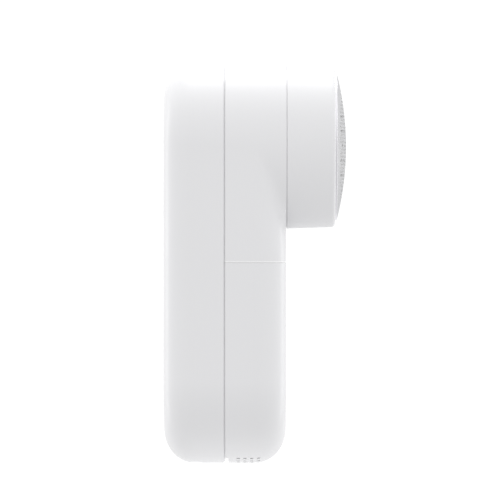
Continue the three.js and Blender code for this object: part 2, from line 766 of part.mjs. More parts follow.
for (const side of [-1, 1]) {
  const name = side < 0 ? "left" : "right";
  const lead = [
    [7.9, side * 10, 92.6],
    [5.4, side * 10.6, 96],
    [4.9, side * 9, 102],
    [5.3, side * 8.7, 106],
  ];
  add(assembly, `motor_lead_${name}`, wire(lead), side < 0 ? "black" : "red");
}
for (const [name, y] of [["inner", 9.4], ["outer", 11.4]]) {
  const lead = [
    [14.7, y - 3, 12],
    [16, y, 20],
    [13.5, y + 0.6, 40],
    [12.4, y + 0.6, 60],
    [10.7, y - 1, 69],
  ];
  add(assembly, `charge_lead_${name}`, wire(lead, 0.5, 14), name === "inner" ? "red" : "black");
}
add(
  assembly,
  "battery_lead_positive",
  wire([[15.5, 1.5, 65.5], [14.6, 2.4, 67], [12.8, 3.4, 69.5], [10.5, 4, 71]]),
  "red",
);
add(
  assembly,
  "battery_lead_negative",
  wire([[15.8, -4, 14.5], [16.4, -9, 17], [15, -10, 40], [13.4, -9.6, 60], [10.6, -8, 70]], 0.5, 14),
  "black",
);

const screws = [
  ...screwPlaces.body.map((place) => ["body", BODY_DEPTH + GAP, BODY_SCREW_LENGTH, place]),
  ...screwPlaces.chassis.map((place) => ["chassis", REAR_DEPTH + GAP, CHASSIS_SCREW_LENGTH, place]),
  ...screwPlaces.motor.map((place) => ["motor", BODY_DEPTH + GAP, MOTOR_SCREW_LENGTH, place]),
];
for (const [kind, depth, length, place] of screws) {
  const side = place[0] < 0 ? "left" : "right";
  const { solid, place: position } = screw(depth, length, place);
  add(assembly, `${kind}_screw_${side}`, solid, "steel");
  assembly.getObjectByName(`${kind}_screw_${side}`).position.set(...position);
}

const fabricShaver = new THREE.Group();
fabricShaver.name = "fabric_shaver";
fabricShaver.add(assembly);

export default fabricShaver;
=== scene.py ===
"""Looks of the fabric shaver: fine shells, foil and collar round the CAD frame, with node materials."""

import json
import math

import bmesh
import bpy
from mathutils import Matrix, Vector


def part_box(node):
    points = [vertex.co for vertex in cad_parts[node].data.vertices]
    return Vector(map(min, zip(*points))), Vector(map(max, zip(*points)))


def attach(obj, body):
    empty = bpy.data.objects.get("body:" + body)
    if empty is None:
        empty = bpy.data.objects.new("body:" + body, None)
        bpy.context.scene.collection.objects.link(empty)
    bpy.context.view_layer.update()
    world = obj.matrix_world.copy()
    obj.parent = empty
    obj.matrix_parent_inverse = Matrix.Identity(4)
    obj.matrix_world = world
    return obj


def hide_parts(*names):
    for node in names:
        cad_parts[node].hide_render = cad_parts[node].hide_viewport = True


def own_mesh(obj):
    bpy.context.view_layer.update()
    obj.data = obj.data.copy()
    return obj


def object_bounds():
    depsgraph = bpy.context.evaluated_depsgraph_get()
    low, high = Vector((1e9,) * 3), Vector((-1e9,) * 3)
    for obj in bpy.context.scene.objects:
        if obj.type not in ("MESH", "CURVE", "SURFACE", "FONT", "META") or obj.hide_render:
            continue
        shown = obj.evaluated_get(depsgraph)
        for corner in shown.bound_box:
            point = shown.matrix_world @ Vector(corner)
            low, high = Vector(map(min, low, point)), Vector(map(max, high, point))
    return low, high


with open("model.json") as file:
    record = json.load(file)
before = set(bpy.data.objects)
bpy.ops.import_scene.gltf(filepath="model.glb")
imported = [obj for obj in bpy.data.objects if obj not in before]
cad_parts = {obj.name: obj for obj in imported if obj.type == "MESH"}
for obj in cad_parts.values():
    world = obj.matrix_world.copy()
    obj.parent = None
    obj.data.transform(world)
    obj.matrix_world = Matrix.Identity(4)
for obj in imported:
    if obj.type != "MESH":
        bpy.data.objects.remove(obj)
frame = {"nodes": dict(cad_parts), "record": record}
cad_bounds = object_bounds()

MM = 0.001

# ---------------------------------------------------------------------------
# Places, all from the frame. Depth runs along +X from the flat rear face.

rear_low, rear_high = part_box("rear_shell")
front_low, front_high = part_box("front_housing")
bin_low, bin_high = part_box("lint_bin")
collar_low, collar_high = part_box("head_collar")
foil_low, foil_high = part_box("cutter_foil")
button_low, button_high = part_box("power_button")
lamp_low, lamp_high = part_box("light_pipe")
socket_low, socket_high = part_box("usb_socket")
can_low, can_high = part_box("motor_can")

RADIUS = (rear_high.y - rear_low.y) / 2
HEAD_Z = rear_high.z - RADIUS
FOOT_Z = rear_low.z + RADIUS
X_REAR = rear_low.x
X_SEAM = rear_high.x
X_FRONT_START = front_low.x
X_FRONT = bin_high.x
X_APEX = foil_high.x
Z_BIN_TOP = bin_high.z
Z_HOUSING = front_low.z
BUTTON_Z = (button_low.z + button_high.z) / 2
LAMP_Z = (lamp_low.z + lamp_high.z) / 2
SOCKET_X = (socket_low.x + socket_high.x) / 2

# Shape details of the mouldings.
WALL = 1.8 * MM
BIN_WALL = 1.6 * MM
EDGE_ROUND = 11 * MM  # along the depth
EDGE_INWARD = 12.6 * MM  # across the face
EDGE_POWER = 2.15  # a touch squarer than an ellipse
SEAM_ROUND = 0.25 * MM
BLEND_POWER = 3.0  # how softly the head's boss flows into the body
NECK = 0.5  # how much more the front edge is rounded just below the head
NECK_LOW = 38 * MM  # below the head axis, where the extra rounding begins
NECK_HIGH = 18 * MM  # and where it is full
CIRCLE_POWER = 2
BOSS_STRAIGHT = 0.86  # in radii below the head axis, where the boss's circle is carried on straight
ARC_STEPS = 72
SIDE_STEPS = 44
DEPTH_STEPS = 6
ROUND_STEPS = 14
SEAM_STEPS = 4

# ---------------------------------------------------------------------------
# Mesh building.


def link(name, work):
    """Turns a finished bmesh into an object in the scene."""
    mesh = bpy.data.meshes.new(name)
    work.to_mesh(mesh)
    work.free()
    piece = bpy.data.objects.new(name, mesh)
    bpy.context.scene.collection.objects.link(piece)
    return piece


def from_rings(name, rings, closed=False):
    """A closed body from rings of equal length: capped at its two ends, or joined end to end."""
    work = bmesh.new()
    loops = [[work.verts.new(point) for point in ring] for ring in rings]
    pairs = list(zip(loops, loops[1:]))
    if closed:
        pairs.append((loops[-1], loops[0]))
    else:
        work.faces.new(loops[0])
        work.faces.new(loops[-1])
    count = len(loops[0])
    for one, two in pairs:
        for i in range(count):
            j = (i + 1) % count
            work.faces.new((one[i], one[j], two[j], two[i]))
    bmesh.ops.remove_doubles(work, verts=work.verts, dist=1e-7)
    bmesh.ops.recalc_face_normals(work, faces=work.faces)
    return link(name, work)


def turned(name, profile, z=None, steps=144):
    """A body turned about an axis along X. The profile's [radius, x] points close on themselves."""
    z = HEAD_Z if z is None else z
    rings = []
    for radius, x in profile:
        angles = [2 * math.pi * i / steps for i in range(steps)]
        rings.append([(x, radius * math.cos(a), z + radius * math.sin(a)) for a in angles])
    starts_and_ends_on_axis = profile[0][0] == 0 and profile[-1][0] == 0
    return from_rings(name, rings, closed=not starts_and_ends_on_axis)


def rod(radius, x0, x1, y, z, steps=48):
    """A plain round tool along X."""
    profile = [(0, x0), (radius, x0), (radius, x1), (0, x1)]
    tool = turned("tool", profile, 0, steps)
    tool.data.transform(Matrix.Translation((0, y, z)))
    return tool


def ring_tool(bore, radius, x0, x1, steps=144):
    """A plain tube about the head axis."""
    return turned("tool", [(bore, x0), (radius, x0), (radius, x1), (bore, x1)], steps=steps)


def block(low, high):
    """A box tool between two corners."""
    work = bmesh.new()
    bmesh.ops.create_cube(work, size=1)
    size = Vector(high) - Vector(low)
    middle = (Vector(high) + Vector(low)) / 2
    place = Matrix.Translation(middle) @ Matrix.Diagonal((*size, 1))
    bmesh.ops.transform(work, matrix=place, verts=work.verts)
    return link("tool", work)


def combine(piece, operation, tools):
    """Cuts the tools from the piece, joins them to it, or keeps what is common, and removes the tools."""
    for tool in tools:
        modifier = piece.modifiers.new("combine", "BOOLEAN")
        modifier.operation = operation
        modifier.solver = "MANIFOLD"
        modifier.object = tool
        graph = bpy.context.evaluated_depsgraph_get()
        result = bpy.data.meshes.new_from_object(piece.evaluated_get(graph))
        piece.modifiers.clear()
        old = piece.data
        piece.data = result
        bpy.data.meshes.remove(old)
        bpy.data.objects.remove(tool)
    return piece


def cut(piece, *tools):
    return combine(piece, "DIFFERENCE", tools)


def add(piece, *tools):
    return combine(piece, "UNION", tools)


def keep(piece, *tools):
    return combine(piece, "INTERSECT", tools)


def finish_piece(piece, name, body, slot, replaced, sharp_degrees=28):
    """Names a finished piece, shades it, paints it, and fastens it to its CAD body."""
    piece.name = name
    piece.data.name = name
    piece.data.shade_smooth()
    piece.data.set_sharp_from_angle(angle=math.radians(sharp_degrees))
    piece.data.materials.clear()
    piece.data.materials.append(materials[slot])
    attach(piece, body)
    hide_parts(replaced)


# ---------------------------------------------------------------------------
# Outlines of the body.


def squircle(steps, depth, inward, power=EDGE_POWER):
    """Points (from the face, in from the side) of a rounded edge, from the side to the face."""
    points = []
    for i in range(steps + 1):
        angle = math.pi / 2 * i / steps
        along = math.sin(angle) ** (2 / power)
        across = math.cos(angle) ** (2 / power)
        points.append((depth * (1 - along), inward * (1 - across)))
    return points


def boss_inset(z):
    """How far the round boss stands in from the body's side at a height below the head axis."""
    below = HEAD_Z - z
    turn = BOSS_STRAIGHT * RADIUS
    if below <= 0:
        return 0.0
    if below <= turn:
        return RADIUS - math.sqrt(RADIUS**2 - below**2)
    root = math.sqrt(RADIUS**2 - turn**2)
    return RADIUS - root + (below - turn) * turn / root


def blended(one, two):
    """Two insets blended into one that is never more than either."""
    if one <= 0 or two <= 0:
        return 0.0
    return (one**-BLEND_POWER + two**-BLEND_POWER) ** (-1 / BLEND_POWER)


def neck(z):
    """How much the front edge's rounding grows towards the head, 1 away from it."""
    share = (NECK_LOW - (HEAD_Z - z)) / (NECK_LOW - NECK_HIGH)
    share = min(1, max(0, share))
    return 1 + NECK * share * share * (3 - 2 * share)


def body_ring(x, inset, edge, boss):
    """The outline at one depth: inset all round, and in by edge too, except where the boss is."""
    ring = []
    top = RADIUS - inset - (0 if boss else edge)
    foot = RADIUS - inset - edge
    for i in range(ARC_STEPS + 1):
        angle = math.pi * i / ARC_STEPS
        ring.append((x, top * math.cos(angle), HEAD_Z + top * math.sin(angle)))
    side = []
    for i in range(1, SIDE_STEPS):
        z = HEAD_Z + (FOOT_Z - HEAD_Z) * i / SIDE_STEPS
        width = RADIUS - inset - (blended(boss_inset(z), edge * neck(z)) if boss else edge)
        side.append((width, z))
    ring += [(x, -width, z) for width, z in side]
    for i in range(ARC_STEPS + 1):
        angle = math.pi + math.pi * i / ARC_STEPS
        ring.append((x, foot * math.cos(angle), FOOT_Z + foot * math.sin(angle)))
    ring += [(x, width, z) for width, z in reversed(side)]
    return ring


def body_form(name, x_open, x_face, inset, boss, open_round=0.0):
    """A body half as a solid: an open end that is nearly square, and a face end with a big round."""
    way = 1 if x_face > x_open else -1
    rings = []
    if open_round > 0:
        for from_end, inward in reversed(squircle(SEAM_STEPS, open_round, open_round, CIRCLE_POWER)):
            rings.append(body_ring(x_open + way * from_end, inset + inward, 0, False))
    else:
        rings.append(body_ring(x_open, inset, 0, boss))
    depth = EDGE_ROUND - inset
    straight_from = x_open + way * open_round
    straight_to = x_face - way * depth
    for i in range(1, DEPTH_STEPS):
        x = straight_from + (straight_to - straight_from) * i / DEPTH_STEPS
        rings.append(body_ring(x, inset, 0, boss))
    for from_face, inward in squircle(ROUND_STEPS, depth, EDGE_INWARD - inset):
        rings.append(body_ring(x_face - way * from_face, inset, inward, boss))
    return from_rings(name, rings)


# ---------------------------------------------------------------------------
# Materials: every one is made of nodes, with colour, roughness and height of its own.


class Finish:
    """A node material with short calls for the nodes that the finishes below share."""

    def __init__(self, name):
        self.material = bpy.data.materials.new(name)
        self.material.use_nodes = True
        self.nodes = self.material.node_tree.nodes
        self.links = self.material.node_tree.links
        self.shader = self.nodes["Principled BSDF"]
        self.place = self.nodes.new("ShaderNodeTexCoord").outputs["Object"]

    def set(self, **values):
        for socket, value in values.items():
            self.shader.inputs[socket.replace("_", " ")].default_value = value
        return self

    def noise(self, scale, detail=3.0, roughness=0.5, stretch=None):
        node = self.nodes.new("ShaderNodeTexNoise")
        node.inputs["Scale"].default_value = scale
        node.inputs["Detail"].default_value = detail
        node.inputs["Roughness"].default_value = roughness
        self.links.new(self.stretched(stretch), node.inputs["Vector"])
        return node.outputs["Fac"]

    def stretched(self, stretch):
        if stretch is None:
            return self.place
        node = self.nodes.new("ShaderNodeMapping")
        node.inputs["Scale"].default_value = stretch
        self.links.new(self.place, node.inputs["Vector"])
        return node.outputs["Vector"]

    def spread(self, source, low, high, start=0.3, end=0.7):
        node = self.nodes.new("ShaderNodeMapRange")
        node.inputs["From Min"].default_value = start
        node.inputs["From Max"].default_value = end
        node.inputs["To Min"].default_value = low
        node.inputs["To Max"].default_value = high
        self.links.new(source, node.inputs["Value"])
        return node.outputs["Result"]

    def mixed(self, factor, one, two):
        node = self.nodes.new("ShaderNodeMix")
        node.data_type = "RGBA"
        self.links.new(factor, node.inputs["Factor"])
        for socket, value in (("A", one), ("B", two)):
            target = [s for s in node.inputs if s.name == socket and s.type == "RGBA"][0]
            if isinstance(value, tuple):
                target.default_value = (*value, 1)
            else:
                self.links.new(value, target)
        return [s for s in node.outputs if s.type == "RGBA"][0]

    def edges(self, amount=0.55):
        """Where the surface turns outwards sharply, 0 to 1."""
        geometry = self.nodes.new("ShaderNodeNewGeometry")
        return self.spread(geometry.outputs["Pointiness"], 0, amount, 0.53, 0.62)

    def bump(self, height, distance, strength=1.0):
        node = self.nodes.new("ShaderNodeBump")
        node.inputs["Strength"].default_value = strength
        node.inputs["Distance"].default_value = distance
        self.links.new(height, node.inputs["Height"])
        previous = self.shader.inputs["Normal"]
        if previous.is_linked:
            self.links.new(previous.links[0].from_socket, node.inputs["Normal"])
        self.links.new(node.outputs["Normal"], previous)
        return self

    def feed(self, socket, source):
        self.links.new(source, self.shader.inputs[socket])
        return self


def moulded(name, colour, worn, roughness, grain=1.0, coat=0.0):
    """Injection-moulded plastic: fine spark texture, faint flow shade, handled edges."""
    finish = Finish(name)
    flow = finish.noise(scale=14, detail=2)
    shade = finish.mixed(finish.spread(flow, 0, 1), colour, tuple(c * 0.985 for c in colour))
    finish.feed("Base Color", finish.mixed(finish.edges(), shade, worn))
    handled = finish.noise(scale=60, detail=4)
    finish.feed("Roughness", finish.spread(handled, roughness - 0.05, roughness + 0.05))
    finish.bump(finish.noise(scale=5200, detail=2), 0.004 * MM * grain)
    finish.bump(finish.noise(scale=420, detail=3), 0.01 * MM * grain)
    finish.set(IOR=1.5, Coat_Weight=coat, Coat_Roughness=0.12)
    return finish.material


def metal(name, colour, roughness, stretch, height=0.004 * MM):
    """Metal with fine lines drawn along one direction, and dull patches."""
    finish = Finish(name)
    lines = finish.noise(scale=900, detail=3, roughness=0.6, stretch=stretch)
    dull = finish.noise(scale=80, detail=4)
    shade = finish.mixed(finish.spread(dull, 0, 1), colour, tuple(c * 0.86 for c in colour))
    worn = tuple(min(1, c * 1.2) for c in colour)
    finish.feed("Base Color", finish.mixed(finish.edges(), shade, worn))
    finish.feed("Roughness", finish.spread(lines, roughness - 0.07, roughness + 0.09))
    finish.bump(lines, height)
    finish.set(Metallic=1.0)
    return finish.material


def blasted_steel(name, colour, roughness, metallic=0.85):
    """Bead-blasted sheet: an even fine grain with a faint cloud in its tone."""
    finish = Finish(name)
    grain = finish.noise(scale=2600, detail=2, roughness=0.7)
    cloud = finish.noise(scale=90, detail=3)
    shade = finish.mixed(finish.spread(cloud, 0, 1), colour, tuple(c * 0.93 for c in colour))
    finish.feed("Base Color", shade)
    finish.feed("Roughness", finish.spread(grain, roughness - 0.06, roughness + 0.08))
    finish.bump(grain, 0.008 * MM)
    finish.set(Metallic=metallic, Specular_Tint=(0.6, 0.6, 0.62, 1))
    return finish.material


def circuit_board(name):
    """Solder resist with tracks under it and bare pads."""
    finish = Finish(name)
    cells = finish.nodes.new("ShaderNodeTexVoronoi")
    cells.distance = "MANHATTAN"
    cells.inputs["Scale"].default_value = 420
    finish.links.new(finish.place, cells.inputs["Vector"])
    tracks = finish.spread(cells.outputs["Distance"], 0, 1, 0.42, 0.5)
    pads = finish.spread(cells.outputs["Distance"], 1, 0, 0.08, 0.1)
    green = finish.mixed(tracks, (0.012, 0.11, 0.045), (0.03, 0.2, 0.085))
    finish.feed("Base Color", finish.mixed(pads, green, (0.62, 0.6, 0.5)))
    finish.feed("Roughness", finish.spread(finish.noise(scale=300), 0.28, 0.42))
    finish.bump(tracks, 0.03 * MM)
    return finish.material


def winding(name):
    """Enamelled copper turns."""
    finish = Finish(name)
    turns = finish.nodes.new("ShaderNodeTexWave")
    turns.bands_direction = "X"
    turns.inputs["Scale"].default_value = 700
    turns.inputs["Distortion"].default_value = 1.5
    finish.links.new(finish.place, turns.inputs["Vector"])
    finish.feed("Base Color", finish.mixed(turns.outputs["Fac"], (0.28, 0.09, 0.03), (0.62, 0.27, 0.11)))
    finish.feed("Roughness", finish.spread(turns.outputs["Fac"], 0.4, 0.28))
    finish.bump(turns.outputs["Fac"], 0.05 * MM)
    finish.set(Metallic=0.8)
    return finish.material


def ferrite(name):
    """Sintered magnet: dark, dull and grainy."""
    finish = Finish(name)
    grain = finish.noise(scale=1800, detail=4, roughness=0.7)
    finish.feed("Base Color", finish.mixed(grain, (0.035, 0.035, 0.038), (0.075, 0.073, 0.072)))
    finish.feed("Roughness", finish.spread(grain, 0.62, 0.82))
    finish.bump(grain, 0.03 * MM)
    return finish.material


def sleeve(name):
    """Shrink sleeve over the cell: smooth film with faint lengthwise strain."""
    finish = Finish(name)
    strain = finish.noise(scale=500, detail=3, roughness=0.6, stretch=(1, 1, 0.06))
    finish.feed("Base Color", finish.mixed(strain, (0.045, 0.16, 0.36), (0.07, 0.22, 0.46)))
    finish.feed("Roughness", finish.spread(strain, 0.25, 0.36))
    finish.bump(strain, 0.02 * MM)
    return finish.material


def insulation(name, colour):
    """Soft wire insulation, a little mottled."""
    finish = Finish(name)
    mottle = finish.noise(scale=900, detail=3)
    finish.feed("Base Color", finish.mixed(mottle, tuple(c * 0.8 for c in colour), colour))
    finish.feed("Roughness", finish.spread(mottle, 0.42, 0.56))
    finish.bump(mottle, 0.01 * MM)
    return finish.material


def clear_plastic(name):
    """Clear moulding with a faint haze."""
    finish = Finish(name)
    haze = finish.noise(scale=700, detail=3)
    finish.feed("Base Color", finish.mixed(haze, (0.86, 0.9, 0.96), (0.92, 0.95, 1.0)))
    finish.feed("Roughness", finish.spread(haze, 0.12, 0.22))
    finish.bump(haze, 0.006 * MM)
    finish.set(Transmission_Weight=0.6, IOR=1.49)
    return finish.material


WHITE = (0.85, 0.85, 0.865)
materials = {
    "shell": moulded("shell_white", WHITE, (0.87, 0.87, 0.87), 0.36, grain=1.0, coat=0.15),
    "inner": moulded("inner_grey", (0.66, 0.66, 0.67), (0.72, 0.72, 0.72), 0.5, grain=2.0),
    "foil": blasted_steel("foil_blasted", (0.7, 0.7, 0.705), 0.4),
    "blade": metal("blade_ground", (0.62, 0.63, 0.65), 0.24, (1, 1, 0.05)),
    "steel": metal("steel_plated", (0.58, 0.59, 0.6), 0.32, (0.05, 1, 1)),
    "brass": metal("brass_plain", (0.72, 0.52, 0.24), 0.3, (0.05, 1, 1)),
    "magnet": ferrite("ferrite"),
    "copper": winding("copper_winding"),
    "board": circuit_board("circuit_board"),
    "black": moulded("black_plastic", (0.022, 0.022, 0.025), (0.06, 0.06, 0.06), 0.48, grain=2.0),
    "battery": sleeve("battery_sleeve"),
    "lamp": clear_plastic("lamp_clear"),
    "lead_red": insulation("lead_red", (0.42, 0.02, 0.02)),
    "lead_black": insulation("lead_black", (0.03, 0.03, 0.032)),
}
# Near-white, not metal: a painted highlight on the walls of the foil's holes and slots, so that they read
# as bright slits.
cut_edge_painted_highlight = blasted_steel("foil_cut_edge", (0.96, 0.96, 0.96), 0.5, metallic=0.0)
polished_rim = metal(
    "foil_rim_polished", (0.9, 0.89, 0.93), 0.16, (1, 0.05, 0.05), height=0.002 * MM
)


def paint_cad_nodes():
    """Every CAD node that still shows gets its slot's finish."""
    for row in frame["record"]["subparts"]:
        node = frame["nodes"][row["node"]]
        node.data.materials.clear()
        node.data.materials.append(materials[row["material_slot"]])


# ---------------------------------------------------------------------------
# Pieces.


def far_block(x0, x1, z0, z1):
    """A box tool that reaches past both sides of the body."""
    return block((x0, -2 * RADIUS, z0), (x1, 2 * RADIUS, z1))


SOCKET_GAP = 0.3 * MM
SOCKET_SLOT_HEIGHT = 4 * MM  # past the inside of the bottom wall
SOCKET_ARC_STEPS = 16


def socket_tool(grow, z0, z1):
    """A slot with round ends, larger than the socket's own outline by grow."""
    half_width = (socket_high.y - socket_low.y) / 2 + grow
    half_thickness = (socket_high.x - socket_low.x) / 2 + grow
    reach = half_width - half_thickness
    outline = []
    for side in (1, -1):
        for i in range(SOCKET_ARC_STEPS + 1):
            angle = -math.pi / 2 + math.pi * i / SOCKET_ARC_STEPS
            y = side * (reach + half_thickness * math.cos(angle))
            outline.append((SOCKET_X + side * half_thickness * math.sin(angle), y))
    rings = [[(x, y, z) for x, y in outline] for z in (z0, z1)]
    return from_rings("tool", rings)


SEAM_LIP_INSET = 0.45 * MM
SEAM_LIP_ROOT = 0.5 * MM
SEAM_LIP_HEIGHT = 0.33 * MM


def seam_lip(x):
    """A low step inside the seam's edge, so that the seam is a shallow groove."""
    ends = (x - SEAM_LIP_ROOT, x + SEAM_LIP_HEIGHT)
    return from_rings("tool", [body_ring(end, SEAM_LIP_INSET, 0, False) for end in ends])


LUG_COUNT = 3
LUG_ANGLE = math.radians(26)
LUG_THICKNESS = 1.3 * MM
LUG_LEAD = 3 * MM / math.radians(45)  # how far a lug climbs along the depth for each radian
LUG_X = X_REAR + 43 * MM  # rear of the collar's lugs where they begin
LUG_PLAY = 0.35 * MM  # along the depth
LUG_CLEARANCE = 0.4 * MM  # across it
LUG_ROOT = 0.7 * MM
LUG_STEPS = 16


def bayonet_lugs(inner_radius, outer_radius, x):
    """Three helical lugs about the head axis, for the collar to turn out on."""
    lugs = []
    for lug in range(LUG_COUNT):
        rings = []
        for i in range(LUG_STEPS + 1):
            turn = LUG_ANGLE * i / LUG_STEPS
            angle = 2 * math.pi * lug / LUG_COUNT + turn
            rear = x + turn * LUG_LEAD
            front = rear + LUG_THICKNESS
            corners = (
                (rear, inner_radius),
                (front, inner_radius),
                (front, outer_radius),
                (rear, outer_radius),
            )
            rings.append([(d, r * math.cos(angle), HEAD_Z + r * math.sin(angle)) for d, r in corners])
        lugs.append(from_rings("tool", rings))
    return lugs


BUTTON_FLANGE = 1.4 * MM  # how far the hidden flange stands out past the cap
BUTTON_CAP_RADIUS = (button_high.y - button_low.y) / 2 - BUTTON_FLANGE
BUTTON_GAP = 0.25 * MM
BUTTON_HOLE_CHAMFER = 0.35 * MM
LAMP_HOLE_RADIUS = 1.35 * MM
BOARD_POST_RADIUS = 1.6 * MM
BOARD_POST_LENGTH = 8 * MM
BOARD_POST_Y = 11 * MM
BOARD_POST_Z = 91 * MM


def make_rear_shell():
    piece = body_form("rear", X_SEAM, X_REAR, 0, False, SEAM_ROUND)
    hollow = body_form("tool", X_SEAM + MM, X_REAR + WALL, WALL, False)
    hole_radius = BUTTON_CAP_RADIUS + BUTTON_GAP
    outside = X_REAR - MM
    inside = X_REAR + WALL + MM
    button_hole = turned(
        "tool",
        [
            (0, outside),
            (hole_radius + BUTTON_HOLE_CHAMFER + MM, outside),
            (hole_radius, X_REAR + BUTTON_HOLE_CHAMFER),
            (hole_radius, inside),
            (0, inside),
        ],
        BUTTON_Z,
        steps=96,
    )
    lamp_hole = rod(LAMP_HOLE_RADIUS, outside, inside, 0, LAMP_Z)
    slot = socket_tool(SOCKET_GAP, rear_low.z - MM, rear_low.z + SOCKET_SLOT_HEIGHT)
    add(piece, seam_lip(X_SEAM))
    cut(piece, hollow, button_hole, lamp_hole, slot)
    for y in (-BOARD_POST_Y, BOARD_POST_Y):
        start = X_REAR + WALL / 2
        end = X_REAR + BOARD_POST_LENGTH
        add(piece, rod(BOARD_POST_RADIUS, start, end, y, BOARD_POST_Z))
    finish_piece(piece, "rear_shell_moulding", "body", "shell", "rear_shell")


SPIGOT_BORE = 22.5 * MM
SPIGOT_RADIUS = 24.2 * MM
SPIGOT_ROOT = 0.7 * MM  # how deep the spigot and the step start in the front wall
CAN_PLAY = 0.4 * MM
MOTOR_FLOOR = 1.6 * MM
STEP_BORE = 24 * MM
STEP_INSET = 0.22 * MM  # the step ring shows as a shallow groove behind the collar
STEP_HEIGHT = 0.24 * MM
FRONT_CUT = 3 * MM  # deeper than the front wall
LINT_WINDOW_HALF_WIDTH = 9 * MM
LINT_WINDOW_LOW = 20.2 * MM  # both below the head axis
LINT_WINDOW_HIGH = 14.5 * MM
SHAFT_HOLE_RADIUS = 4.3 * MM
SCREW_HOLE_RADIUS = 1.3 * MM
MOTOR_SCREW_Y = 8.5 * MM
BODY_SCREW_OFFSET = 13.5 * MM  # sideways and upwards from the head axis


def front_wall_tools():
    """Cuts through the boss's front wall: the lint window, the shaft's hole and the screws' holes."""
    behind = X_FRONT - FRONT_CUT
    before = X_FRONT + MM
    window = block(
        (behind, -LINT_WINDOW_HALF_WIDTH, HEAD_Z - LINT_WINDOW_LOW),
        (before, LINT_WINDOW_HALF_WIDTH, HEAD_Z - LINT_WINDOW_HIGH),
    )
    tools = [window, rod(SHAFT_HOLE_RADIUS, behind, before, 0, HEAD_Z)]
    for side in (-1, 1):
        offset = BODY_SCREW_OFFSET
        for y, z in ((side * MOTOR_SCREW_Y, HEAD_Z), (side * offset, HEAD_Z + offset)):
            tools.append(rod(SCREW_HOLE_RADIUS, behind, before, y, z))
    return tools


def make_front_housing():
    piece = body_form("front", X_FRONT_START, X_FRONT, 0, True, SEAM_ROUND)
    below = far_block(X_REAR, X_APEX, rear_low.z - MM, Z_HOUSING)
    hollow = body_form("tool", X_FRONT_START - MM, X_FRONT - WALL, WALL, True)
    cut(piece, below, hollow)
    root = X_FRONT - SPIGOT_ROOT
    spigot = ring_tool(SPIGOT_BORE, SPIGOT_RADIUS, root, front_high.x)
    step = ring_tool(STEP_BORE, RADIUS - STEP_INSET, root, X_FRONT + STEP_HEIGHT, steps=192)
    floor_z = HEAD_Z - (can_high.z - can_low.z) / 2 - CAN_PLAY
    floor = keep(
        far_block(X_FRONT_START, X_FRONT - MM, floor_z - MOTOR_FLOOR, floor_z),
        body_form("tool", X_FRONT_START - MM, X_FRONT - WALL / 2, WALL / 2, True),
    )
    add(piece, spigot, step, floor)
    lug_x = LUG_X + LUG_THICKNESS + LUG_PLAY
    add(piece, *bayonet_lugs(SPIGOT_RADIUS - LUG_ROOT, COLLAR_BORE - LUG_CLEARANCE, lug_x))
    cut(piece, *front_wall_tools())
    finish_piece(piece, "front_housing_moulding", "body", "shell", "front_housing")


VENT_COLUMNS = 4
VENT_ROWS = 7
VENT_PITCH = 2.3 * MM
VENT_FIRST = 25.4 * MM
VENT_ROW_ANGLE = math.radians(6.8)
VENT_RADIUS = 0.62 * MM
VENT_CORNERS = 24


def vent_tools():
    """All the vent holes as one mesh of rods that point at the centre of the rounded end."""
    work = bmesh.new()
    for column in range(VENT_COLUMNS):
        for row in range(VENT_ROWS):
            turn = (row - (VENT_ROWS - 1) / 2) * VENT_ROW_ANGLE
            place = (
                Matrix.Translation((X_REAR + VENT_FIRST + column * VENT_PITCH, 0, FOOT_Z))
                @ Matrix.Rotation(turn, 4, "X")
                @ Matrix.Translation((0, 0, BIN_WALL / 2 - RADIUS))
            )
            bmesh.ops.create_cone(
                work,
                cap_ends=True,
                segments=VENT_CORNERS,
                radius1=VENT_RADIUS,
                radius2=VENT_RADIUS,
                depth=2 * BIN_WALL + MM,
                matrix=place,
            )
    return link("tool", work)


NOTCH_HALF_WIDTH = 9.7 * MM
NOTCH_DEPTH = 1.1 * MM
NOTCH_HEIGHT = 1.7 * MM
RAIL_Y = 14 * MM
RAIL_SLOT_HALF_WIDTH = 1.6 * MM
RAIL_SLOT_LOW = 29.6 * MM


def rail_slot(side):
    """The slot in the bin's rear wall that slides on one rail."""
    y = side * RAIL_Y
    return block(
        (X_FRONT_START - MM, y - RAIL_SLOT_HALF_WIDTH, RAIL_SLOT_LOW),
        (X_FRONT_START + BIN_WALL + MM, y + RAIL_SLOT_HALF_WIDTH, Z_BIN_TOP + MM),
    )


def make_lint_bin():
    piece = body_form("bin", X_FRONT_START, X_FRONT, 0, True, SEAM_ROUND)
    above = far_block(X_REAR, X_APEX, Z_BIN_TOP, rear_high.z + MM)
    hollow = body_form("tool", X_FRONT_START + BIN_WALL, X_FRONT - BIN_WALL, BIN_WALL, True)
    notch = block(
        (X_FRONT_START - MM, -NOTCH_HALF_WIDTH, bin_low.z - MM),
        (X_FRONT_START + NOTCH_DEPTH, NOTCH_HALF_WIDTH, bin_low.z + NOTCH_HEIGHT),
    )
    cut(piece, above, hollow, notch, rail_slot(-1), rail_slot(1), vent_tools())
    finish_piece(piece, "lint_bin_moulding", "bin", "shell", "lint_bin")


def arc(centre_radius, centre_x, size, from_degrees, to_degrees, steps):
    """Points of a round edge in a [radius, x] profile."""
    points = []
    for i in range(steps + 1):
        angle = math.radians(from_degrees + (to_degrees - from_degrees) * i / steps)
        points.append((centre_radius + size * math.cos(angle), centre_x + size * math.sin(angle)))
    return points


FLANGE = 0.7 * MM  # how far the foil's flange stands out past its dome
FLANGE_THICKNESS = 0.5 * MM
FOIL_RADIUS = (foil_high.y - foil_low.y) / 2 - FLANGE
COLLAR_BORE = 26.2 * MM
COLLAR_FRONT_RADIUS = RADIUS - 0.5 * MM
COLLAR_LIP = 1.4 * MM
LIP_GAP = 0.3 * MM
LIP_ROUND = 0.25 * MM
BACK_ROUND = 0.15 * MM
FRONT_EDGE_ROUND = 1.35 * MM


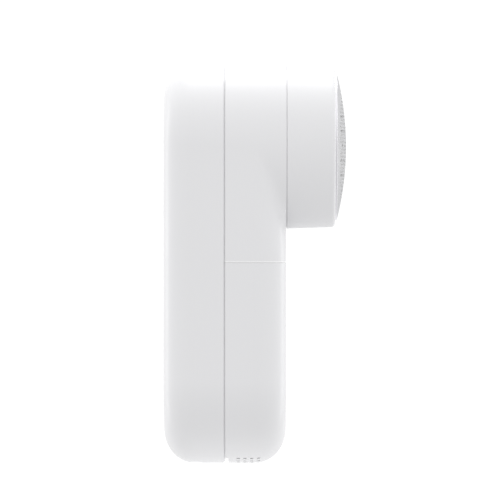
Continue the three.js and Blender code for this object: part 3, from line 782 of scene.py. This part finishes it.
def make_collar():
    lip_radius = FOIL_RADIUS + LIP_GAP
    back = collar_low.x
    face = collar_high.x
    front_round = FRONT_EDGE_ROUND
    profile = [
        (COLLAR_BORE, back),
        *arc(RADIUS - BACK_ROUND, back + BACK_ROUND, BACK_ROUND, -90, 0, 4),
        *arc(COLLAR_FRONT_RADIUS - front_round, face - front_round, front_round, 0, 90, 8),
        *arc(lip_radius + LIP_ROUND, face - LIP_ROUND, LIP_ROUND, 90, 180, 4),
        (lip_radius, face - COLLAR_LIP),
        (COLLAR_BORE, face - COLLAR_LIP),
    ]
    piece = turned("collar", profile, steps=192)
    add(piece, *bayonet_lugs(SPIGOT_RADIUS + LUG_CLEARANCE, COLLAR_BORE + LUG_ROOT, LUG_X))
    finish_piece(piece, "head_collar_moulding", "collar", "shell", "head_collar")


FOIL_RIM_RISE = 3.2 * MM  # height of the dome over its rim
FOIL_THICKNESS = 0.3 * MM
BEAD = 0.22 * MM  # the rolled edge
DOME_STEPS = 40
PERFORATED_RADIUS = 21 * MM
ROW_PITCH = 1.25 * MM
HOLE_PITCH = ROW_PITCH * 2 / math.sqrt(3)
HOLE_RADIUS = 0.5 * MM
SLOT_EVERY = 4  # every fourth row is made of slots
SLOT_LENGTH = 3 * MM
SLOT_PITCH = 4 * MM
HOLE_CORNERS = 12
CUT_DEPTH = 6 * MM  # deeper than the dome is high
# The third material is the painted highlight on the walls of the foil's holes and slots.
RIM_INDEX = 1  # the foil's second and third materials
PAINTED_HIGHLIGHT_INDEX = 2


def dome_x(radius, below=0.0):
    """Where a sphere through the foil's rim and apex stands at a radius, less a depth below it."""
    sphere = (FOIL_RADIUS**2 + FOIL_RIM_RISE**2) / (2 * FOIL_RIM_RISE)
    return X_APEX - sphere + math.sqrt((sphere - below) ** 2 - radius**2)


def row_of_cuts(row):
    """One row's pitch, the half length of its slots, and its shift in pitches."""
    if row % SLOT_EVERY == 0:
        return SLOT_PITCH, SLOT_LENGTH / 2 - HOLE_RADIUS, 0.5 * (row % (2 * SLOT_EVERY) > 0)
    return HOLE_PITCH, 0.0, 0.5 * (row % 2)


def add_cutter(work, y, z, half):
    """Adds one cut to the mesh: a prism with round ends, 2 * half longer than it is wide."""
    rings = []
    for x in (X_APEX - CUT_DEPTH, X_APEX + MM):
        ring = []
        for i in range(HOLE_CORNERS):
            angle = 2 * math.pi * (i + 0.5) / HOLE_CORNERS
            across = y + math.copysign(half, math.cos(angle)) + HOLE_RADIUS * math.cos(angle)
            ring.append(work.verts.new((x, across, z + HOLE_RADIUS * math.sin(angle))))
        rings.append(ring)
    low, high = rings
    for i in range(HOLE_CORNERS):
        j = (i + 1) % HOLE_CORNERS
        work.faces.new((low[i], low[j], high[j], high[i]))
    work.faces.new(reversed(low))
    work.faces.new(high)


def cutting_tools():
    """The foil's cuts in rows across the width, round holes and slots with round ends, as one mesh."""
    work = bmesh.new()
    row_reach = int(PERFORATED_RADIUS / ROW_PITCH) + 1
    column_reach = row_reach + 4
    for row in range(-row_reach, row_reach + 1):
        pitch, half, shift = row_of_cuts(row)
        z = row * ROW_PITCH
        for column in range(-column_reach, column_reach + 1):
            y = (column + shift) * pitch
            if math.hypot(abs(y) + half, z) <= PERFORATED_RADIUS - HOLE_RADIUS:
                add_cutter(work, y, HEAD_Z + z, half)
    return link("tool", work)


def make_foil():
    flange_x = foil_low.x + FLANGE_THICKNESS
    inner_radius = FOIL_RADIUS - FOIL_THICKNESS - BEAD
    edge_radius = FOIL_RADIUS - BEAD
    edge_x = dome_x(edge_radius) - BEAD
    shares = [i / DOME_STEPS for i in range(DOME_STEPS + 1)]
    outer = [(edge_radius * share, dome_x(edge_radius * share)) for share in shares]
    inner = [(inner_radius * share, dome_x(inner_radius * share, FOIL_THICKNESS)) for share in shares]
    profile = [
        *outer[:-1],
        *arc(edge_radius, edge_x, BEAD, 80, 0, 6),
        (FOIL_RADIUS, flange_x),
        (FOIL_RADIUS + FLANGE, flange_x),
        (FOIL_RADIUS + FLANGE, foil_low.x),
        (inner_radius, foil_low.x),
        *reversed(inner),
    ]
    piece = turned("foil", profile, steps=192)
    cut(piece, cutting_tools())
    finish_piece(piece, "cutter_foil_sheet", "foil_set", "foil", "cutter_foil")
    piece.data.materials.append(polished_rim)
    piece.data.materials.append(cut_edge_painted_highlight)
    for face in piece.data.polygons:
        radius = math.hypot(face.center.y, face.center.z - HEAD_Z)
        facing = abs(face.normal.x)
        if radius > edge_radius and facing < 0.98:
            face.material_index = RIM_INDEX
        # The walls of the holes and slots take the painted highlight.
        elif radius < PERFORATED_RADIUS and facing < 0.5:
            face.material_index = PAINTED_HIGHLIGHT_INDEX


BUTTON_EDGE = 0.4 * MM
BUTTON_DISH = 0.55 * MM
BUTTON_DISH_STEPS = 10
BUTTON_SKIRT = 2.1 * MM  # from the rear face to the flange
BUTTON_FLANGE_THICKNESS = 0.9 * MM
BUTTON_STEM_RADIUS = 2 * MM


def make_button():
    radius = BUTTON_CAP_RADIUS
    flange_radius = radius + BUTTON_FLANGE
    flat = radius - BUTTON_EDGE
    flange_x = X_REAR + BUTTON_SKIRT
    flange_end = flange_x + BUTTON_FLANGE_THICKNESS
    shares = [i / BUTTON_DISH_STEPS for i in range(BUTTON_DISH_STEPS + 1)]
    profile = [
        *[(flat * share, X_REAR + BUTTON_DISH * (1 - share**2)) for share in shares],
        *arc(flat, X_REAR + BUTTON_EDGE, BUTTON_EDGE, -90, 0, 5)[1:],
        (radius, flange_x),
        (flange_radius, flange_x),
        (flange_radius, flange_end),
        (BUTTON_STEM_RADIUS, flange_end),
        (BUTTON_STEM_RADIUS, button_high.x),
        (0, button_high.x),
    ]
    piece = turned("button", profile, BUTTON_Z, steps=96)
    finish_piece(piece, "power_button_cap", "button", "shell", "power_button")


SPRING_TURNS = 4
SPRING_WIRE = 0.22 * MM  # the wire's radius
SPRING_TURN_STEPS = 40
SPRING_CORNERS = 10


def make_spring():
    """The coil spring under the cutter, built as one fixed coil at its length in the frame; in the shaver
    it shortens as the cutter is pressed in.
    """
    steps = SPRING_TURN_STEPS * SPRING_TURNS
    low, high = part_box("float_spring")
    radius = (high.y - low.y) / 2 - SPRING_WIRE
    along = Vector((1, 0, 0))
    start = low.x + SPRING_WIRE
    length = high.x - low.x - 2 * SPRING_WIRE
    rings = []
    for i in range(steps + 1):
        turn = 2 * math.pi * SPRING_TURNS * i / steps
        outward = Vector((0, math.cos(turn), math.sin(turn)))
        middle = Vector((start + length * i / steps, 0, HEAD_Z)) + outward * radius
        angles = [2 * math.pi * j / SPRING_CORNERS for j in range(SPRING_CORNERS)]
        rings.append([middle + SPRING_WIRE * (math.cos(a) * outward + math.sin(a) * along) for a in angles])
    piece = from_rings("spring", rings)
    finish_piece(piece, "float_spring_coil", "rotor", "steel", "float_spring", sharp_degrees=60)
    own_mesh(piece)


# ---------------------------------------------------------------------------
# Stage, light and camera.

ROOM = 0.947  # the room's mean brightness
ROOM_BACK = 0.13  # more from the white wall behind, less from the camera's side
ROOM_UP = 0.22
WALL_SEEN = 0.85  # what the camera sees of the walls beside the object
WALL_SEEN_BACK = 0.23  # more where it looks at the white wall behind, less where it looks away


def sloped(nodes, links, mean, slope):
    """A brightness that changes evenly with the direction looked in, by slope along each axis."""
    direction = nodes.new("ShaderNodeTexCoord").outputs["Generated"]
    change = nodes.new("ShaderNodeVectorMath")
    change.operation = "DOT_PRODUCT"
    change.inputs[1].default_value = slope
    links.new(direction, change.inputs[0])
    brightness = nodes.new("ShaderNodeMath")
    brightness.operation = "ADD"
    brightness.inputs[1].default_value = mean
    links.new(change.outputs["Value"], brightness.inputs[0])
    return brightness.outputs["Value"]


def make_room():
    """An even white room, a little brighter behind the object and overhead."""
    world = bpy.data.worlds.new("studio")
    bpy.context.scene.world = world
    world.use_nodes = True
    nodes = world.node_tree.nodes
    links = world.node_tree.links
    nodes.clear()
    thrown = nodes.new("ShaderNodeBackground")
    thrown.inputs["Color"].default_value = (1, 1, 1, 1)
    links.new(sloped(nodes, links, ROOM, (0, ROOM_BACK, ROOM_UP)), thrown.inputs["Strength"])
    seen = nodes.new("ShaderNodeBackground")
    seen.inputs["Color"].default_value = (1, 1, 1, 1)
    links.new(sloped(nodes, links, WALL_SEEN, (0, WALL_SEEN_BACK, 0)), seen.inputs["Strength"])
    rays = nodes.new("ShaderNodeLightPath")
    mix = nodes.new("ShaderNodeMixShader")
    links.new(rays.outputs["Is Camera Ray"], mix.inputs["Fac"])
    links.new(thrown.outputs[0], mix.inputs[1])
    links.new(seen.outputs[0], mix.inputs[2])
    output = nodes.new("ShaderNodeOutputWorld")
    links.new(mix.outputs[0], output.inputs["Surface"])


FLOOR_PAPER = (0.4, 0.4, 0.4)
FLOOR_GLOW = 0.36
FLOOR_GLOW_BACK = 0.75  # far behind the object
FLOOR_BACK = 1.0  # how far behind it, in metres
FLOOR_HALF_WIDTH = 3
FLOOR_DROP = 46 * MM  # room for the lint bin to slide down off its rails


def make_floor():
    """A plain pale light table below the object, clear when it is seen from underneath."""
    work = bmesh.new()
    bmesh.ops.create_grid(work, x_segments=8, y_segments=8, size=FLOOR_HALF_WIDTH)
    floor = link("floor", work)
    floor.location.z = cad_bounds[0][2] - FLOOR_DROP
    floor.visible_diffuse = False
    floor.visible_glossy = False
    floor.visible_shadow = False
    finish = Finish("floor_paper")
    fibre = finish.noise(scale=40, detail=3)
    paler = tuple(c * 1.05 for c in FLOOR_PAPER)
    finish.feed("Base Color", finish.mixed(fibre, FLOOR_PAPER, paler))
    finish.set(Roughness=0.9, Emission_Color=(1, 1, 1, 1))
    axes = finish.nodes.new("ShaderNodeSeparateXYZ")
    finish.links.new(finish.place, axes.inputs[0])
    glow = finish.spread(axes.outputs["Y"], FLOOR_GLOW, FLOOR_GLOW_BACK, 0, FLOOR_BACK)
    finish.feed("Emission Strength", glow)
    clear = finish.nodes.new("ShaderNodeBsdfTransparent")
    underside = finish.nodes.new("ShaderNodeNewGeometry").outputs["Backfacing"]
    mix = finish.nodes.new("ShaderNodeMixShader")
    finish.links.new(underside, mix.inputs["Fac"])
    finish.links.new(finish.shader.outputs["BSDF"], mix.inputs[1])
    finish.links.new(clear.outputs["BSDF"], mix.inputs[2])
    finish.links.new(mix.outputs["Shader"], finish.nodes["Material Output"].inputs["Surface"])
    floor.data.materials.append(finish.material)


def softbox(name, place, aim, size, power):
    """A rectangular area light that faces a point."""
    data = bpy.data.lights.new(name, "AREA")
    data.shape = "RECTANGLE"
    data.size, data.size_y = size
    data.energy = power
    lamp = bpy.data.objects.new(name, data)
    lamp.location = place
    lamp.rotation_euler = (Vector(aim) - Vector(place)).to_track_quat("-Z", "Y").to_euler()
    bpy.context.scene.collection.objects.link(lamp)
    return lamp


def make_bounce():
    """Light off the table just under the object, hidden from the head by the body."""
    table = (0, 0, cad_bounds[0][2] - FLOOR_DROP + MM)
    lamp = softbox("table_bounce", table, aim=(0, 0, HEAD_Z), size=(0.07, 0.03), power=0.006)
    lamp.visible_camera = False
    lamp.visible_glossy = False


def make_lights():
    """One softbox above and a little behind, and a strip at each side behind the object."""
    middle = (0, 0, (rear_low.z + rear_high.z) / 2)
    softbox("top_softbox", (0, 0.29, 0.72), aim=middle, size=(0.4, 0.3), power=1.5)
    for side in (-1, 1):
        softbox("edge_strip", (side * 0.55, 0.4, 0.07), aim=middle, size=(0.1, 0.5), power=0.33)


FIELD = 170.8 * MM  # width of the view at the object
VIEW_DISTANCE = 2.6  # in metres
VIEW_X = X_REAR + 29.4 * MM
VIEW_Z = rear_low.z + 72.7 * MM
FAR_CLIP = 20  # in metres


def make_camera():
    """The side view: level, along +Y, from far enough to be nearly parallel."""
    data = bpy.data.cameras.new("camera")
    data.sensor_width = 36
    data.lens = data.sensor_width * VIEW_DISTANCE / FIELD
    data.clip_end = FAR_CLIP
    camera = bpy.data.objects.new("camera", data)
    camera.location = (VIEW_X, -VIEW_DISTANCE, VIEW_Z)
    camera.rotation_euler = (math.pi / 2, 0, 0)
    bpy.context.scene.collection.objects.link(camera)
    bpy.context.scene.camera = camera


make_room()
make_floor()
make_lights()
make_bounce()
make_camera()
paint_cad_nodes()
make_rear_shell()
make_front_housing()
make_lint_bin()
make_collar()
make_foil()
make_button()
make_spring()

bpy.context.scene.view_settings.view_transform = "Standard"
